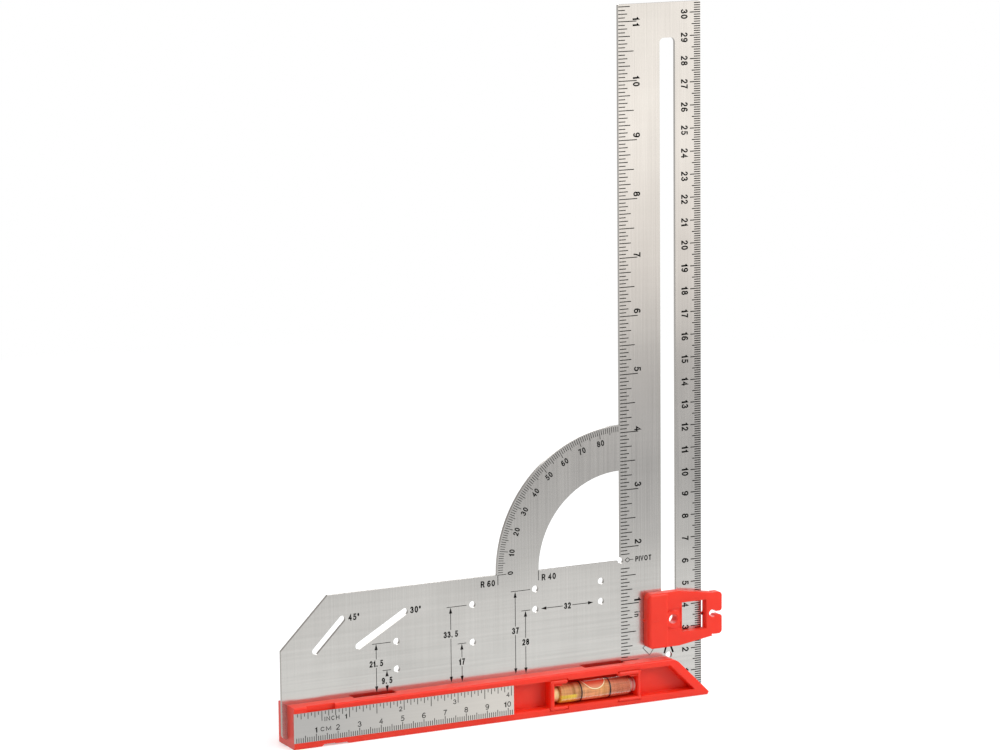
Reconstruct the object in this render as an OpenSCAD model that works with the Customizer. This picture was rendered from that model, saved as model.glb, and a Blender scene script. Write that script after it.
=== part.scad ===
// Carpenter's square: one steel blade in a moulded plastic base, with a
// spirit level, a short scale on the base and a cursor that slides along
// the ruler. Everything is in millimetres.
// Each module is drawn in the blade's own coordinates: x from the ruler's
// left edge, y from the middle of the sheet, z from the fence, which is
// the top face of the base. place() then moves it to the origin under the
// middle of the whole tool.

/* [Blade] */
// Thickness of the steel sheet
blade_t = 1.5; // [1.2:0.1:2]
// Width of the upright ruler
ruler_w = 40; // [38:1:44]
// Height of the ruler's top edge above the fence
ruler_top = 286.8; // [200:0.1:320]
// How far the plate reaches to the left of the ruler
plate_reach = 161.2; // [155:0.1:175]
// Height of the plate's top edge above the fence
plate_h = 45; // [42:1:50]
// Size of the 45 degree corner cut off the plate
plate_corner = 21.8; // [15:0.1:24]
// Outer radius of the protractor arc
arc_outer = 60; // [55:1:65]
// Inner radius of the protractor arc
arc_inner = 40; // [35:1:45]
// Depth of the blade below the fence
tang_h = 14.8; // [14:0.1:15.2]
// Distance from the ruler's left edge to its slot
slot_x = 20; // [18:0.5:22]
// Width of the ruler's slot
slot_w = 7.5; // [6.5:0.1:8]
// Height of the slot's lower end above the fence
slot_low = 6; // [5:0.1:6.4]
// Diameter of the marking holes
hole_d = 3; // [2:0.1:3.5]

/* [Base] */
// Height of the base, which is also the depth of the fence
base_h = 18; // [17:0.5:20]
// Depth of the base from front to back
base_d = 17; // [16:0.5:20]
// How far the base reaches to the left of the ruler
base_reach = 158.9; // [150:0.1:165]
// Where the top face would meet the sloped right end
slope_x = 23.1; // [20:0.1:26]
// How deep the front panels are cut
panel_cut = 5.1; // [3:0.1:5.5]

/* [Scale strip] */
// Length of the small steel scale on the base
strip_l = 102.8; // [95:0.1:104]
// Height of the small steel scale
strip_h = 12.8; // [10:0.1:13]
// Thickness of the small steel scale
strip_t = 0.4; // [0.3:0.05:0.5]

/* [Level] */
// Length of the vial
vial_l = 40; // [36:0.5:41]
// Outer diameter of the vial
vial_d = 9; // [8:0.1:9.4]
// Distance between the vial's two black rings
ring_gap = 14; // [12:0.5:16]

/* [Cursor] */
// Height of the cursor's left block
cursor_h = 24.5; // [22:0.5:26]
// Where the cursor's left edge is, from the ruler's left edge
cursor_x0 = 11.2; // [10.6:0.1:12]
// Where the cursor's right edge is, from the ruler's left edge
cursor_x1 = 48.2; // [47:0.1:52]
// Height of the cursor's middle above the fence: it reads 3.5 cm
cursor_z = 17.1; // [17.1:0.1:200]
// Diameter of the cursor's pencil hole
pencil_d = 4.2; // [2:0.1:4.4]

/* [Hidden] */
$fn = 64;
// A small overlap that keeps cuts clear of the faces they open
cut = 1;

// Origin: under the middle of the whole tool
origin_x = (cursor_x1 - plate_reach) / 2;

// Blade
blade_y = blade_t / 2;
blade_foot = -tang_h;
slot_end_gap = 15.2;
slot_top = ruler_top - slot_end_gap;
slot_r = 2;
slot_mid = slot_x + slot_w / 2;
tang_r = 2;
ruler_r = 0.6;
pivot_r = 1.35;
// Marking holes: distance left of the ruler and height above the fence
hole_in = 53.4;
HOLES = [[-9.7, 37], [-9.7, 28], [-41.7, 37], [-41.7, 28], [-71.8, 33.5], [-71.8, 17],
         [-plate_reach + hole_in, 21.5], [-plate_reach + hole_in, 9.5]];
// The hole on the slot's centre line at the fence
fence_hole_d = 3.2;
// Angled slots: place of the lower end, and angle
slit_w = 3;
slit_low = 21.5;
slit_rise = 12.5;
slit_in = 15.8;
slit_step = 20;
SLITS = [[-plate_reach + slit_in, 45], [-plate_reach + slit_in + slit_step, 30]];

// Base
base_front = -base_d / 2;
base_back = base_d / 2;
proud = 0.3;
rim_front = base_front + proud;
edge_r = 0.7;
slope_r = 7;
slope_tan = slope_r * tan(22.5);
tip_h = 1.4;
tip_in = 0.7;
slope_foot_x = slope_x + base_h - tip_h;
rim_top = 2.7;
rim_low = 3.2;
rim_slope_w = 3.7;
rim_slope = rim_slope_w * sqrt(2);
panel_r = 0.6;
panel_floor = rim_front + panel_cut;
panel_end = slope_x - rim_slope;
// Wells in the top face against the blade
well_l = 20;
well_w = 2.7;
well_h = 4;
well_in = 39.7;
well_right = -9.2;
WELLS = [-base_reach + well_in, well_right];
// Set-back in the top rim and shallow notch under the left end
lip_in = 5.9;
lip_x = -base_reach + lip_in;
lip_l = 13;
lip_cut = 1.5;
notch_in = 12.5;
notch_x = -base_reach + notch_in;
notch_l = 12.6;
notch_h = 1.1;
notch_step = 0.3;
// Cores in the back, with ribs between them
core_cut = 3.5;
core_count = 5;
core_rib = 2.2;
core_in = 3;
core_x0 = -base_reach + core_in;
core_x1 = slope_x - rim_slope - core_in;

// Scale strip
strip_gap = 0.1;
strip_up = 0.3;
strip_z1 = -rim_top + strip_up;
strip_z0 = strip_z1 - strip_h;
seat_floor = rim_front + strip_t + strip_gap;

// Level
vial_x0 = -36;
vial_drop = 0.9;
vial_z = -base_h / 2 - vial_drop;
vial_r = vial_d / 2;
vial_in = 0.15;
vial_y = rim_front + vial_r + vial_in;
vial_end = 2.2;
vial_neck = 0.8;
flange_cut = 1.2;
flange_r = vial_r - flange_cut;
neck_cut = 0.35;
vial_neck_r = flange_r - neck_cut;
vial_wall = 1.2;
bore_r = vial_r - vial_wall;
barrel = 0.25;
bore_mid_r = bore_r + barrel;
plug_in = 0.9;
plug_r = bore_r - plug_in;
plug_l = 3.6;
bore_x0 = plug_l;
vial_bottom = 3.4;
bore_x1 = vial_l - vial_bottom;
ring_w = 0.5;
ring_cut = 0.2;
bubble_l = 10.6;
bubble_r = 1.7;
bubble_film = 0.15;
// Pocket that holds the vial, and the brackets at its two ends
end_gap = 0.2;
pocket_x0 = vial_x0 - end_gap;
pocket_x1 = vial_x0 + vial_l + end_gap;
pocket_floor = vial_y + vial_r;
pocket_low = 3.4;
pocket_top = 3.2;
pocket_z0 = -base_h + pocket_low;
pocket_z1 = -pocket_top;
saddle_l = 3.6;
saddle_gap = 0.1;
bracket_left = 2.3;
bracket_right = 1.5;
bracket_l = 6.4;
bracket_low_l = 9.6;
bracket_top = 2.5;
bracket_low = 1.9;
bracket_z1 = -bracket_top;
bracket_z0 = -base_h + bracket_low;
tab_top_r = 1.15;
tab_low_r = 0.85;
bed_gap = 0.1;
// Length of a tab's tapered tip and radius of its end, as parts of the tab's radius
tip_l = 0.8;
tip_part = 0.45;
left_top = pocket_x0 + bracket_l;
left_low = pocket_x0 + bracket_l;
right_top = pocket_x1 - bracket_low_l;
right_low = pocket_x1 - bracket_low_l;
// Room at each side in the notch that clears the vial in the hidden part of the blade
relief_gap = 0.4;

// Cursor
slide_gap = 0.1;
face_y = -blade_y - slide_gap;
back_y = blade_y + slide_gap;
plate_t = 4;
block_t = 5;
plate_front = -blade_y - plate_t;
block_front = -blade_y - block_t;
block_x1 = 20.5;
block_r = 2.6;
block_side_r = 1.6;
block_end_r = 1;
shoulder_x = 26.8;
neck_x = 43.6;
neck_h = 19.4;
lobe_h = 18.8;
lobe_r = 1.7;
// The gripping end lies a little above the pointer
grip_up = 0.35;
nick = 0.7;
nick_out = 0.15;
window_x0 = 28.2;
window_x1 = 40.5;
window_low = 6.2;
window_high = 6.9;
boss_r = 4;
boss_proud = 0.25;
boss_front = plate_front - boss_proud;
dish_x1 = 27.9;
dish_h = 9.5;
dish_cut = 0.4;
grip_x = 43.6;
grip_r = 1.75;
grip_w = 1.6;
mouth_r = 1.3;
nib_l = 0.8;
nib_h = 1.5;
pointer_l = 1;
pointer_h = 1.1;
pointer_t = 0.9;
// How far a part drawn on its own runs into the one that carries it
bury = 0.5;
mark_w = 0.3;
mark_cut = 0.15;
mark_in = 2.4;
mark_l = 2.6;
rib_side = 0.15;
rib_h = 19;
rib_r = 1.8;
rib_hole_r = 2.7;
keeper_x0 = 13.2;
keeper_x1 = 34.4;
keeper_h = 20;
keeper_t = 2.3;
keeper_r = 2;
keeper_hole_r = 4;
peg_r = 1.3;
peg_z = 6.6;
head_r = 2;
head_t = 0.6;

// Moves a drawn piece so that the origin lies under the middle of the tool
module place() {
  translate([-origin_x, 0, base_h]) children();
}

// A sheet between two depths, from a flat outline in x and z
module sheet(y0, y1) {
  translate([0, y1, 0])
    rotate([90, 0, 0])
      linear_extrude(y1 - y0) children();
}

// A round bar along y, between two depths
module bar_y(x, z, r, y0, y1) {
  translate([x, y1, z])
    rotate([90, 0, 0])
      cylinder(h = y1 - y0, r = r);
}

// A round bar along x
module bar_x(x0, length, r, r_end) {
  translate([x0, 0, 0])
    rotate([0, 90, 0])
      cylinder(h = length, r1 = r, r2 = r_end);
}

// A block between two corners
module block(a, b) {
  translate(a) cube(b - a);
}

// A block with its four edges along y rounded
module soft_block(x0, x1, z0, z1, r, y0, y1) {
  block([x0 + r, y0, z0], [x1 - r, y1, z1]);
  block([x0, y0, z0 + r], [x1, y1, z1 - r]);
  for (x = [x0 + r, x1 - r], z = [z0 + r, z1 - r])
    bar_y(x, z, r, y0, y1);
}

// What is cut off to round one square corner: sx and sz point outward
module corner_cut(x, z, r, sx, sz, y0, y1) {
  cx = x - sx * r;
  cz = z - sz * r;
  difference() {
    block([min(cx, x + sx), y0, min(cz, z + sz)], [max(cx, x + sx), y1, max(cz, z + sz)]);
    bar_y(cx, cz, r, y0 - cut, y1 + cut);
  }
}

// An angled marking slot with round ends
module slit(x, angle) {
  length = slit_rise / sin(angle);
  translate([x, 0, slit_low])
    rotate([0, -angle, 0]) {
      block([0, -blade_t, -slit_w / 2], [length, blade_t, slit_w / 2]);
      bar_y(0, 0, slit_w / 2, -blade_t, blade_t);
      bar_y(length, 0, slit_w / 2, -blade_t, blade_t);
    }
}

// The quarter ring of the protractor, joined to the plate and the ruler
module protractor_ring() {
  intersection() {
    difference() {
      bar_y(0, plate_h, arc_outer, -blade_y, blade_y);
      bar_y(0, plate_h, arc_inner, -blade_t, blade_t);
    }
    block([-arc_outer - cut, -blade_t, plate_h - cut], [cut, blade_t, plate_h + arc_outer + cut]);
  }
}

// One stainless sheet: plate, protractor arc and slotted ruler
module blade() {
  color("silver")
    place()
      difference() {
        union() {
          sheet(-blade_y, blade_y)
            polygon([[-plate_reach, blade_foot], [ruler_w, blade_foot], [ruler_w, ruler_top],
                     [0, ruler_top], [0, plate_h], [-plate_reach + plate_corner, plate_h],
                     [-plate_reach, plate_h - plate_corner]]);
          protractor_ring();
        }
        soft_block(slot_x, slot_x + slot_w, slot_low, slot_top, slot_r, -blade_t, blade_t);
        bar_y(0, plate_h, pivot_r, -blade_t, blade_t);
        bar_y(slot_mid, 0, fence_hole_d / 2, -blade_t, blade_t);
        for (h = HOLES)
          bar_y(h[0], h[1], hole_d / 2, -blade_t, blade_t);
        for (s = SLITS)
          slit(s[0], s[1]);
        corner_cut(-plate_reach, blade_foot, tang_r, -1, -1, -blade_t, blade_t);
        corner_cut(0, ruler_top, ruler_r, -1, 1, -blade_t, blade_t);
        corner_cut(ruler_w, ruler_top, ruler_r, 1, 1, -blade_t, blade_t);
        block([pocket_x0 - relief_gap, -blade_t, blade_foot - cut],
              [pocket_x1 + relief_gap, blade_t, pocket_z1]);
      }
}

// The base's outline from the side, with the rounded start of its slope
module base_side() {
  sheet(base_front, base_back)
    polygon([[-base_reach, -base_h], [slope_foot_x - tip_in, -base_h], [slope_foot_x, -base_h + tip_h],
             [slope_x + slope_tan / sqrt(2), -slope_tan / sqrt(2)], [slope_x - slope_tan, 0],
             [-base_reach, 0]]);
  intersection() {
    bar_y(slope_x - slope_tan, -slope_r, slope_r, base_front, base_back);
    block([slope_x - slope_tan, base_front, -slope_r], [slope_x + slope_r, base_back, 0]);
  }
}

// The base's outline from its end: four long edges rounded
module base_section() {
  length = base_reach + slope_x + base_h + cut;
  translate([-base_reach - cut, 0, 0]) {
    block([0, rim_front, -base_h + edge_r], [length, base_back, -edge_r]);
    block([0, rim_front + edge_r, -base_h], [length, base_back - edge_r, 0]);
    for (y = [rim_front + edge_r, base_back - edge_r], z = [-base_h + edge_r, -edge_r])
      translate([0, y, z]) bar_x(0, length, edge_r, edge_r);
  }
}

// A sunk panel in the front: the left one is square
module left_panel() {
  soft_block(-base_reach + strip_l, pocket_x0 - bracket_left, -base_h + rim_low, -rim_top, panel_r,
             base_front - cut, panel_floor);
}

// A sunk panel in the front: the right one follows the slope
module right_panel() {
  x0 = pocket_x1 + bracket_right;
  sheet(base_front - cut, panel_floor)
    polygon([[x0, -base_h + rim_low], [panel_end + base_h - rim_low, -base_h + rim_low],
             [panel_end + rim_top, -rim_top], [x0, -rim_top]]);
}

// The pocket for the vial, with a round saddle at each end
module vial_pocket() {
  block([pocket_x0 + saddle_l, base_front - cut, pocket_z0],
        [pocket_x1 - saddle_l, pocket_floor, pocket_z1]);
  translate([0, vial_y, vial_z]) {
    bar_x(pocket_x0, pocket_x1 - pocket_x0, vial_r + saddle_gap, vial_r + saddle_gap);
  }
  block([pocket_x0, base_front - cut, vial_z - vial_r - saddle_gap],
        [pocket_x1, vial_y, vial_z + vial_r + saddle_gap]);
}

// One end bracket of the vial: a round post with a round tab above and below
module bracket(out, in, top_end, low_end) {
  r = abs(out - in) / 2 - bed_gap;
  start = out + sign(in - out) * bed_gap;
  translate([(out + in) / 2, base_front + r, bracket_z0 + 2 * bed_gap])
    cylinder(h = bracket_z1 - bracket_z0 - 4 * bed_gap, r = r);
  round_tab(start, top_end, bracket_z1 - tab_top_r, tab_top_r);
  round_tab(start, low_end, bracket_z0 + tab_low_r, tab_low_r);
}

// A tab of a bracket: a round bar from the post to its tapered tip
module round_tab(start, end, z, r) {
  side = sign(end - start);
  tip = end - side * tip_l * r;
  translate([0, base_front + r, z]) {
    bar_x(min(start, tip), abs(tip - start), r, r);
    translate([tip, 0, 0])
      rotate([0, side * 90, 0])
        cylinder(h = tip_l * r, r1 = r, r2 = tip_part * r);
  }
}

// The sunk bed round a bracket, from which its bars stand out
module bracket_bed(out, in, top_end, low_end) {
  r = abs(out - in) / 2 - bed_gap;
  block([min(out, in) - 2 * bed_gap, base_front - cut, bracket_z0 - bed_gap],
        [max(out, in) + 2 * bed_gap, base_front + r + bed_gap, bracket_z1 + bed_gap]);
  tab_bed(out, top_end, bracket_z1 - tab_top_r, tab_top_r);
  tab_bed(out, low_end, bracket_z0 + tab_low_r, tab_low_r);
}

// The part of the bed behind one tab
module tab_bed(start, end, z, r) {
  block([min(start, end) - bed_gap, base_front - cut, z - r - bed_gap],
        [max(start, end) + bed_gap, base_front + r + bed_gap, z + r + bed_gap]);
}

// The wells in the top face, beside the blade
module wells() {
  for (x = WELLS)
    block([x - well_l / 2, -blade_y - well_w, -well_h], [x + well_l / 2, 0, cut]);
}

// The set-back in the front of the top rim and the notch in the underside
module end_marks() {
  block([lip_x, base_front - cut, strip_z1 - cut], [lip_x + lip_l, rim_front + lip_cut, cut]);
  sheet(base_front - cut, base_back + cut)
    polygon([[notch_x, -base_h - cut], [notch_x, -base_h], [notch_x + notch_h, -base_h + notch_h],
             [notch_x + notch_l / 2, -base_h + notch_h],
             [notch_x + notch_l / 2, -base_h + notch_h - notch_step],
             [notch_x + notch_l - notch_h, -base_h + notch_h - notch_step],
             [notch_x + notch_l, -base_h], [notch_x + notch_l, -base_h - cut]]);
}

// The cores in the back face, with ribs left standing between them
module back_cores() {
  pitch = (core_x1 - core_x0 + core_rib) / core_count;
  for (i = [0 : core_count - 1])
    soft_block(core_x0 + i * pitch, core_x0 + (i + 1) * pitch - core_rib, -base_h + rim_low, -rim_top,
               panel_r, base_back - core_cut, base_back + cut);
}

// The moulded base: a bar with a slot for the blade
module base() {
  color("tomato")
    place() {
      difference() {
        intersection() {
          base_side();
          base_section();
        }
        block([-base_reach - cut, -blade_y, blade_foot], [slope_foot_x + cut, blade_y, cut]);
        left_panel();
        right_panel();
        block([-base_reach - cut, base_front - cut, strip_z0],
              [-base_reach + strip_l, seat_floor, strip_z1]);
        vial_pocket();
        wells();
        end_marks();
        back_cores();
        bracket_bed(pocket_x0 - bracket_left, pocket_x0, left_top, left_low);
        bracket_bed(pocket_x1 + bracket_right, pocket_x1, right_top, right_low);
      }
      bracket(pocket_x0 - bracket_left, pocket_x0, left_top, left_low);
      bracket(pocket_x1 + bracket_right, pocket_x1, right_top, right_low);
    }
}

// The small steel scale, glued into its seat at the front
module scale_strip() {
  color("gainsboro")
    place()
      block([-base_reach, seat_floor - strip_t, strip_z0], [-base_reach + strip_l, seat_floor, strip_z1]);
}

// Moves what is drawn along the x axis to the vial's place
module at_vial() {
  place()
    translate([vial_x0, vial_y, vial_z]) children();
}

// The hollow of the vial: widest in the middle, so that the bubble centres
module vial_hollow() {
  half = (bore_x1 - bore_x0) / 2;
  bar_x(bore_x0, half, bore_r, bore_mid_r);
  bar_x(bore_x0 + half, half, bore_mid_r, bore_r);
}

// The clear tube, with a neck and a flange at each end
module vial_tube() {
  color("lightyellow", 0.5)
    at_vial()
      difference() {
        union() {
          bar_x(0, vial_l, vial_neck_r, vial_neck_r);
          bar_x(0, vial_end, flange_r, flange_r);
          bar_x(vial_l - vial_end, vial_end, flange_r, flange_r);
          bar_x(vial_end + vial_neck, vial_l - 2 * (vial_end + vial_neck), vial_r, vial_r);
        }
        for (x = [-ring_gap / 2, ring_gap / 2])
          difference() {
            bar_x(vial_l / 2 + x - ring_w / 2, ring_w, vial_r + cut, vial_r + cut);
            bar_x(vial_l / 2 + x - cut, 2 * cut, vial_r - ring_cut, vial_r - ring_cut);
          }
        vial_hollow();
        bar_x(-cut, bore_x0 + 2 * cut, plug_r, plug_r);
      }
}

// The plug that closes the open end of the tube
module vial_plug() {
  color("khaki")
    at_vial()
      bar_x(0, plug_l, plug_r, plug_r);
}

// The air bubble, long and flat under the top of the tube
module bubble_shape() {
  translate([vial_l / 2, 0, bore_mid_r - bubble_r - bubble_film])
    scale([bubble_l / 2 / bubble_r, 1, 1])
      sphere(r = bubble_r, $fn = 40);
}

// The coloured liquid that fills the tube round the bubble
module vial_liquid() {
  color("yellowgreen", 0.6)
    at_vial()
      difference() {
        vial_hollow();
        bubble_shape();
      }
}

// The bubble itself
module vial_bubble() {
  color("white", 0.4)
    at_vial() bubble_shape();
}

// A black ring in its groove round the tube
module vial_ring(x) {
  color("black")
    at_vial()
      difference() {
        bar_x(x - ring_w / 2, ring_w, vial_r, vial_r);
        bar_x(x - cut, 2 * cut, vial_r - ring_cut, vial_r - ring_cut);
      }
}

// The ring left of the bubble
module vial_ring_left() {
  vial_ring(vial_l / 2 - ring_gap / 2);
}

// The ring right of the bubble
module vial_ring_right() {
  vial_ring(vial_l / 2 + ring_gap / 2);
}

// Moves a cursor piece up to the cursor's middle
module at_cursor() {
  place()
    translate([0, 0, cursor_z]) children();
}

// The cursor's outline: a tall block that tapers to two gripping lobes
module cursor_outline() {
  top = cursor_h / 2;
  neck = neck_h / 2;
  lobe = lobe_h / 2;
  difference() {
    union() {
      sheet(plate_front, face_y)
        polygon([[cursor_x0 + block_r, -top], [shoulder_x, -top], [neck_x, -neck], [neck_x, neck],
                 [shoulder_x, top], [cursor_x0 + block_r, top]]);
      block([neck_x - nick, plate_front, grip_up - lobe], [cursor_x1 - lobe_r, face_y, grip_up + lobe]);
      soft_block(cursor_x1 - 3 * lobe_r, cursor_x1, grip_up - lobe, grip_up + lobe, lobe_r,
                 plate_front, face_y);
    }
    for (side = [-1, 1])
      translate([neck_x, 0, grip_up + side * (lobe + nick_out)])
        rotate([0, 45, 0])
          cube([nick, 4 * block_r, nick], center = true);
  }
}

// The thicker left block, with its left edge and its ends rounded
module cursor_block() {
  top = cursor_h / 2;
  soft_block(cursor_x0 + block_side_r, block_x1 + block_r, -top, top, block_r, plate_front, face_y);
  intersection() {
    soft_block(cursor_x0, block_x1 + block_r, -top, top, block_r, block_front, face_y);
    union() {
      block([cursor_x0, block_front + block_side_r, -top], [block_x1, face_y, top]);
      block([cursor_x0 + block_side_r, block_front, -top], [block_x1, face_y, top]);
      translate([cursor_x0 + block_side_r, block_front + block_side_r, -top])
        cylinder(h = 2 * top, r = block_side_r);
    }
    union() {
      block([cursor_x0, block_front + block_end_r, -top], [block_x1, face_y, top]);
      block([cursor_x0, block_front, -top + block_end_r], [block_x1, face_y, top - block_end_r]);
      for (z = [-top + block_end_r, top - block_end_r])
        translate([0, block_front + block_end_r, z])
          bar_x(cursor_x0, block_x1 - cursor_x0, block_end_r, block_end_r);
    }
  }
}

// The slit between the lobes, with a round eye and a flared mouth
module grip_slit() {
  translate([0, 0, grip_up]) {
    bar_y(grip_x, 0, grip_r, block_front - cut, 0);
    block([grip_x, block_front - cut, -grip_w / 2], [cursor_x1 + cut, 0, grip_w / 2]);
    difference() {
      block([cursor_x1 - mouth_r, block_front - cut, -grip_w / 2 - mouth_r],
            [cursor_x1 + cut, 0, grip_w / 2 + mouth_r]);
      for (side = [-1, 1])
        bar_y(cursor_x1 - mouth_r, side * (grip_w / 2 + mouth_r), mouth_r, block_front - 2 * cut, cut);
    }
  }
}

// The two index marks: a nib at the left edge and a pointer in the window
module cursor_index() {
  sheet(face_y - pointer_t, face_y)
    polygon([[window_x1 + bury, -pointer_h], [window_x1 + bury, pointer_h], [window_x1, pointer_h],
             [window_x1 - pointer_l, 0], [window_x1, -pointer_h]]);
  sheet(face_y - pointer_t, face_y)
    polygon([[cursor_x0 + bury, -nib_h], [cursor_x0, -nib_h / 2], [cursor_x0 - nib_l, 0],
             [cursor_x0, nib_h / 2], [cursor_x0 + bury, nib_h]]);
}

// The rib that runs in the ruler's slot, and the two pegs behind it
module cursor_rib() {
  soft_block(slot_x + rib_side, slot_x + slot_w - rib_side, -rib_h / 2, rib_h / 2, rib_r,
             face_y - bury, back_y);
  for (z = [-peg_z, peg_z]) {
    bar_y(slot_mid, z, peg_r, 0, back_y + keeper_t);
    bar_y(slot_mid, z, head_r, back_y + keeper_t, back_y + keeper_t + head_t);
  }
}

// The front moulding of the cursor
module cursor_body() {
  color("tomato")
    at_cursor()
      difference() {
        union() {
          difference() {
            union() {
              cursor_outline();
              cursor_block();
            }
            block([window_x0, block_front - cut, -window_low], [window_x1, 0, window_high]);
            block([block_x1, block_front, -dish_h / 2], [dish_x1, plate_front + dish_cut, dish_h / 2]);
            grip_slit();
            block([cursor_x0 + mark_in, block_front - cut, -mark_w / 2],
                  [cursor_x0 + mark_in + mark_l, block_front + mark_cut, mark_w / 2]);
          }
          bar_y(slot_mid, 0, boss_r, boss_front, face_y);
          cursor_rib();
          cursor_index();
        }
        bar_y(slot_mid, 0, pencil_d / 2, block_front - cut, back_y + cut);
        bar_y(slot_mid, 0, rib_hole_r, face_y, back_y + cut);
      }
}

// The keeper plate behind the blade, held by the rivet heads of the pegs
module cursor_keeper() {
  color("firebrick")
    at_cursor()
      difference() {
        soft_block(keeper_x0, keeper_x1, -keeper_h / 2, keeper_h / 2, keeper_r,
                   back_y, back_y + keeper_t);
        for (z = [-peg_z, peg_z])
          bar_y(slot_mid, z, peg_r, back_y - cut, back_y + keeper_t + cut);
        bar_y(slot_mid, 0, keeper_hole_r, back_y - cut, back_y + keeper_t + cut);
      }
}

blade();
base();
scale_strip();
vial_tube();
vial_plug();
vial_liquid();
vial_bubble();
vial_ring_left();
vial_ring_right();
cursor_body();
cursor_keeper();
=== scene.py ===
# A carpenter's square: one ground steel sheet with printed scales, pressed into a moulded red base that
# carries a short scale and a spirit level, and a red cursor that slides along the ruler's slot.
import math

import bpy
from mathutils import Matrix, Vector


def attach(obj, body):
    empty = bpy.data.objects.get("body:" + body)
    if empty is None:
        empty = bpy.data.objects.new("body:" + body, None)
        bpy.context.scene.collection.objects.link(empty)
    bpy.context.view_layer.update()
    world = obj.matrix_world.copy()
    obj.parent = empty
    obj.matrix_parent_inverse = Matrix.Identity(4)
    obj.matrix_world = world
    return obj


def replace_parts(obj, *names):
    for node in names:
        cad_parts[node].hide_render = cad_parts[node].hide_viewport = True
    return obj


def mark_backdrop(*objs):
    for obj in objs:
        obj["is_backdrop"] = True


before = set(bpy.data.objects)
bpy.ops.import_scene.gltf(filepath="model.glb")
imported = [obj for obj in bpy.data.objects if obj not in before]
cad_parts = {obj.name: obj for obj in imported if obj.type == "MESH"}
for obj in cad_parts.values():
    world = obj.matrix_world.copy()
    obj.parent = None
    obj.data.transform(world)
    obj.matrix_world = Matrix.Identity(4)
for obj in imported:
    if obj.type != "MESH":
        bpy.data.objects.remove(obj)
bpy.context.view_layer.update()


# The view: a long lens from the front left, a little above the tool, as the photograph was taken.
VIEW_FROM = (-0.75451, -1.52881, 0.44715)
VIEW_AHEAD = (0.43563591, 0.88356954, -0.17183196)
VIEW_RIGHT = (0.89611643, -0.44371257, -0.00972122)
camera = bpy.data.objects.new("view", bpy.data.cameras.new("view"))
camera.data.lens = 146.4
camera.data.sensor_width = 36.0
camera.data.clip_start, camera.data.clip_end = 0.05, 60.0
ahead, right = Vector(VIEW_AHEAD).normalized(), Vector(VIEW_RIGHT)
right = (right - ahead * right.dot(ahead)).normalized()
turn = Matrix((right, right.cross(ahead), -ahead)).transposed().to_4x4()
camera.matrix_world = Matrix.Translation(VIEW_FROM) @ turn
bpy.context.scene.collection.objects.link(camera)
bpy.context.scene.camera = camera
bpy.context.scene.view_settings.view_transform = "Standard"


# The floor: matt white card that the tool stands on. It shows white in the picture and keeps the tool's
# soft shadow. In the steel it shows painted light that glows only where it is mirrored: bright close by, a
# painted dimmer band half a metre off, warm beyond.
def linear(colour):
    """An sRGB hex colour as linear red, green, blue and alpha."""
    parts = [int(colour[i : i + 2], 16) / 255 for i in (1, 3, 5)]
    return [p / 12.92 if p <= 0.04045 else ((p + 0.055) / 1.055) ** 2.4 for p in parts] + [1.0]


def add_node(tree, kind, settings=None):
    """Adds one node, sets its sockets and options by name or number, and links a value that is a socket."""
    node = tree.nodes.new(kind)
    for key, value in (settings or {}).items():
        if isinstance(key, str) and key not in node.inputs.keys():
            setattr(node, key, value)
        elif isinstance(value, bpy.types.NodeSocket):
            tree.links.new(value, node.inputs[key])
        else:
            node.inputs[key].default_value = value
    return node


def new_material(name):
    """An empty material with that name, and its node tree."""
    material = bpy.data.materials.new(name)
    material.use_nodes = True
    material.node_tree.nodes.clear()
    return material, material.node_tree


def mesh_piece(name, vertices, faces, material, body=None):
    """A mesh piece in the tool's frame, which rides on a body, or is stage where it has none."""
    mesh = bpy.data.meshes.new(name)
    mesh.from_pydata([tuple(v) for v in vertices], [], [tuple(f) for f in faces])
    mesh.materials.append(material)
    piece = bpy.data.objects.new(name, mesh)
    bpy.context.scene.collection.objects.link(piece)
    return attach(piece, body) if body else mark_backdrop(piece)


card, tree = new_material("white card, matt")
place = add_node(tree, "ShaderNodeNewGeometry")
across = add_node(tree, "ShaderNodeSeparateXYZ", {"Vector": place.outputs["Position"]})
step = add_node(tree, "ShaderNodeMapRange", {"Value": across.outputs["Y"], "From Min": 0.0, "From Max": -1.6})
# Painted light for the steel's reflections: a glow that is bright close by, dims in a band half a metre off
# and is warm beyond.
painted_table_light = add_node(tree, "ShaderNodeValToRGB", {"Fac": step.outputs["Result"]})
painted_table_light.color_ramp.elements[0].color = linear("#d8d8d6")
painted_table_light.color_ramp.elements[1].color = linear("#fbf5ee")
for stop, colour in (
    (0.14, "#d2d1cf"),
    (0.22, "#b4b3b2"),
    (0.30, "#9c9b9a"),
    (0.40, "#aaa8a7"),
    (0.54, "#bfbcb9"),
    (0.64, "#d5cfca"),
    (0.74, "#f0e8e1"),
):
    painted_table_light.color_ramp.elements.new(stop).color = linear(colour)
distance = add_node(tree, "ShaderNodeVectorMath", {0: place.outputs["Position"], "operation": "LENGTH"})
far = add_node(
    tree, "ShaderNodeMapRange", {"Value": distance.outputs["Value"], "From Min": 0.35, "From Max": 1.0}
)
ray = add_node(tree, "ShaderNodeLightPath")
lit = add_node(tree, "ShaderNodeBsdfDiffuse", {"Color": linear("#e9e9e9")})
seen = add_node(tree, "ShaderNodeEmission", {"Color": linear("#ffffff"), "Strength": 0.36})
both = add_node(tree, "ShaderNodeAddShader", {0: lit.outputs[0], 1: seen.outputs[0]})
blank = add_node(tree, "ShaderNodeEmission", {"Color": linear("#ffffff"), "Strength": 1.0})
backdrop = add_node(
    tree, "ShaderNodeMixShader", {0: far.outputs["Result"], 1: both.outputs[0], 2: blank.outputs[0]}
)
mirrored = add_node(tree, "ShaderNodeEmission", {"Color": painted_table_light.outputs["Color"], "Strength": 1.64})
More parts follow.
